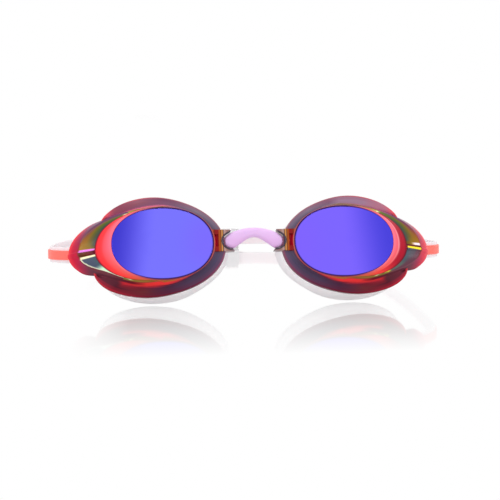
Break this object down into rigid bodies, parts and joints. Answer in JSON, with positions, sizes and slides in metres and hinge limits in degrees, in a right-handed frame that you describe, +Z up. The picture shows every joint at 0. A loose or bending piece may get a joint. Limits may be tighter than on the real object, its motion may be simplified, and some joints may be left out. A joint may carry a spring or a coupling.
{
  "type": "swim goggles",
  "caption": "Racing swim goggles with mirrored oval lenses, coral frames, soft clear seals, a lavender nose bridge and a looped silicone head strap with a rear clip.",
  "frame": {"origin": "on the surface that the goggles stand on, under the middle of the whole part", "axes": "+Z up, +X to the wearer's left, -Y out through the lenses; the eye cups lean back 20 degrees"},
  "size_m": [0.1756, 0.1883, 0.045],
  "materials": {
    "frame": "translucent coral polycarbonate, polished",
    "lens": "blue to violet mirror coating on polycarbonate",
    "seal": "clear soft silicone, satin",
    "bridge": "soft lavender thermoplastic, satin",
    "strap": "pale translucent silicone, matte",
    "stripe": "coral silicone, matte",
    "clip": "clear polycarbonate, satin"
  },
  "bodies": {
    "bridge": {"nose_bridge": "bridge"},
    "left_cup": {"left_eye_frame": "frame", "left_lens": "lens", "left_seal": "seal"},
    "right_cup": {"right_eye_frame": "frame", "right_lens": "lens", "right_seal": "seal"},
    "left_band": {"left_strap": "strap", "left_stripe": "stripe"},
    "right_band": {"right_strap": "strap", "right_stripe": "stripe"},
    "clip": {"rear_clip": "clip"}
  },
  "joints": [
    {"name": "left_cup_flex", "type": "hinge", "parent": "bridge", "child": "left_cup", "pos_m": [0.0113, -0.08554, 0.02723], "axis": [0, 0.342, 0.9397], "range_deg": [-4, 6], "stiffness_Nm_per_rad": 0.05},
    {"name": "right_cup_flex", "type": "hinge", "parent": "bridge", "child": "right_cup", "pos_m": [-0.0113, -0.08554, 0.02723], "axis": [0, 0.342, 0.9397], "range_deg": [-6, 4]},
    {"name": "left_strap_swing", "type": "hinge", "parent": "left_cup", "child": "left_band", "pos_m": [0.0711, -0.07445, 0.02042], "axis": [0, 0.0889, 0.996], "range_deg": [-7, 5]},
    {"name": "right_strap_swing", "type": "hinge", "parent": "right_cup", "child": "right_band", "pos_m": [-0.0711, -0.07445, 0.02042], "axis": [0, 0.0889, 0.996], "range_deg": [-5, 7]},
    {"name": "clip_slide", "type": "slide", "parent": "left_band", "child": "clip", "axis": [1, 0, 0], "range_m": [-0.004, 0.004]}
  ],
  "couplings": [
    {"joint": "right_cup_flex", "follows": "left_cup_flex", "ratio": -1},
    {"joint": "left_strap_swing", "follows": "left_cup_flex", "ratio": -1.055},
    {"joint": "right_strap_swing", "follows": "left_cup_flex", "ratio": 1.055}
  ]
}
